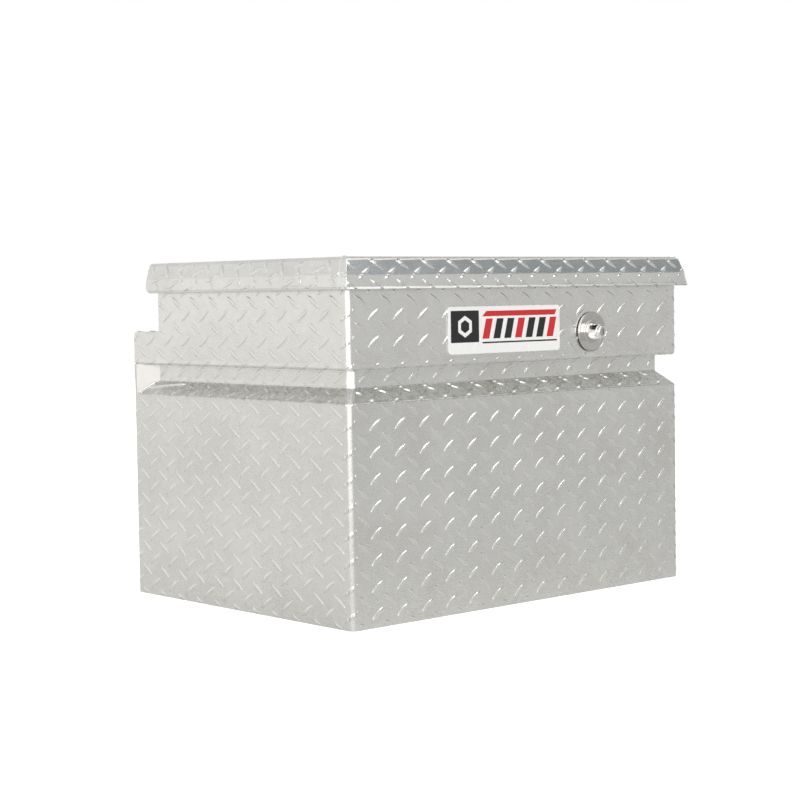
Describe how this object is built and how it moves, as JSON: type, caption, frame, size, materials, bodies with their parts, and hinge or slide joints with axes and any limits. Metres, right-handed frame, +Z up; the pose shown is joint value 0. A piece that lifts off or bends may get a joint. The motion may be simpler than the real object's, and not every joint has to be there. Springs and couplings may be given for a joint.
{
  "type": "truck tool box",
  "caption": "Aluminium tread-plate tool chest with a recessed waist channel, rear step, hinged lid on gas struts and a keyed push-button latch.",
  "frame": {"origin": "centre of the chest's underside, on the surface it stands on", "axes": "+X to the right along the front, +Y from the front to the hinge side, +Z up"},
  "size_m": [0.64, 0.485, 0.46],
  "materials": {
    "tread_plate": "bright rolled tread plate",
    "bright_sheet": "smooth bright",
    "mill_aluminium": "mill finish",
    "black_rubber": "matte",
    "stainless_steel": "turned and polished",
    "zinc_plated_steel": "zinc plated",
    "black_paint": "satin black",
    "black_nylon": "moulded",
    "chromed_rod": "ground and chromed",
    "lid_foam": "foam",
    "white_plate": "gloss"
  },
  "bodies": {
    "tub": {"lower_wrap": "tread_plate", "channel_front": "tread_plate", "channel_left": "tread_plate", "channel_right": "tread_plate", "upper_wrap": "tread_plate", "rear_wall": "tread_plate", "rear_riser": "tread_plate", "bottom_plate": "mill_aluminium", "channel_end_left": "bright_sheet", "channel_end_right": "bright_sheet", "rim_front": "mill_aluminium", "rim_rear": "mill_aluminium", "rim_left": "mill_aluminium", "rim_right": "mill_aluminium", "corner_gussets": "mill_aluminium", "weather_seal": "black_rubber", "floor_doublers": "mill_aluminium", "hinge_leaf_tub": "stainless_steel", "hinge_pin": "stainless_steel", "hinge_rivets_tub": "zinc_plated_steel", "strut_bracket_tub_left": "zinc_plated_steel", "strut_bracket_tub_right": "zinc_plated_steel", "ball_stud_tub_left": "zinc_plated_steel", "ball_stud_tub_right": "zinc_plated_steel", "bracket_screws": "zinc_plated_steel", "name_plate": "white_plate", "lock_gasket": "black_rubber", "lock_bezel": "stainless_steel", "lock_nut": "zinc_plated_steel", "latch_housing": "zinc_plated_steel", "latch_rivets": "zinc_plated_steel", "return_spring": "zinc_plated_steel"},
    "lid": {"lid_skin": "tread_plate", "lid_core": "lid_foam", "lid_pan": "mill_aluminium", "lid_channels": "mill_aluminium", "lid_rivets": "zinc_plated_steel", "hinge_leaf_lid": "stainless_steel", "hinge_rivets_lid": "zinc_plated_steel", "striker": "stainless_steel", "striker_screws": "zinc_plated_steel", "strut_bracket_lid_left": "zinc_plated_steel", "strut_bracket_lid_right": "zinc_plated_steel", "ball_stud_lid_left": "zinc_plated_steel", "ball_stud_lid_right": "zinc_plated_steel"},
    "strut_tube_left_body": {"strut_tube_left": "black_paint", "strut_gland_left": "black_nylon", "tube_socket_left": "black_nylon"},
    "strut_rod_left_body": {"strut_rod_left": "chromed_rod", "rod_socket_left": "black_nylon"},
    "strut_tube_right_body": {"strut_tube_right": "black_paint", "strut_gland_right": "black_nylon", "tube_socket_right": "black_nylon"},
    "strut_rod_right_body": {"strut_rod_right": "chromed_rod", "rod_socket_right": "black_nylon"},
    "button": {"lock_button": "stainless_steel"},
    "key": {"key_plug": "stainless_steel"},
    "latch": {"latch_bolt": "stainless_steel"}
  },
  "joints": [
    {"name": "lid_hinge", "type": "hinge", "parent": "tub", "child": "lid", "pos_m": [0, 0.17625, 0.425], "axis": [-1, 0, 0], "range_deg": [0, 75]},
    {"name": "strut_lower_pivot_left", "type": "hinge", "parent": "tub", "child": "strut_rod_left_body", "pos_m": [-0.268, 0.14519, 0.30909], "axis": [-1, 0, 0], "range_deg": [0, 37.5]},
    {"name": "strut_upper_pivot_left", "type": "hinge", "parent": "lid", "child": "strut_tube_left_body", "pos_m": [-0.268, 0.05625, 0.425], "axis": [1, 0, 0], "range_deg": [0, 37.5]},
    {"name": "strut_lower_pivot_right", "type": "hinge", "parent": "tub", "child": "strut_rod_right_body", "pos_m": [0.268, 0.14519, 0.30909], "axis": [-1, 0, 0], "range_deg": [0, 37.5]},
    {"name": "strut_upper_pivot_right", "type": "hinge", "parent": "lid", "child": "strut_tube_right_body", "pos_m": [0.268, 0.05625, 0.425], "axis": [1, 0, 0], "range_deg": [0, 37.5]},
    {"name": "button_slide", "type": "slide", "parent": "tub", "child": "button", "axis": [0, 1, 0], "range_m": [0, 0.008], "stiffness_N_per_m": 1500, "springref_m": -0.004, "deforming": ["return_spring"]},
    {"name": "key_turn", "type": "hinge", "parent": "button", "child": "key", "pos_m": [0.127, -0.2305, 0.3575], "axis": [0, 1, 0], "range_deg": [0, 90]},
    {"name": "latch_slide", "type": "slide", "parent": "tub", "child": "latch", "axis": [0, 1, 0], "range_m": [0, 0.008]}
  ],
  "couplings": [
    {"joint": "strut_lower_pivot_left", "follows": "lid_hinge", "ratio": 0.5},
    {"joint": "strut_upper_pivot_left", "follows": "lid_hinge", "ratio": 0.5},
    {"joint": "strut_lower_pivot_right", "follows": "lid_hinge", "ratio": 0.5},
    {"joint": "strut_upper_pivot_right", "follows": "lid_hinge", "ratio": 0.5},
    {"joint": "latch_slide", "follows": "button_slide", "ratio": 1}
  ]
}
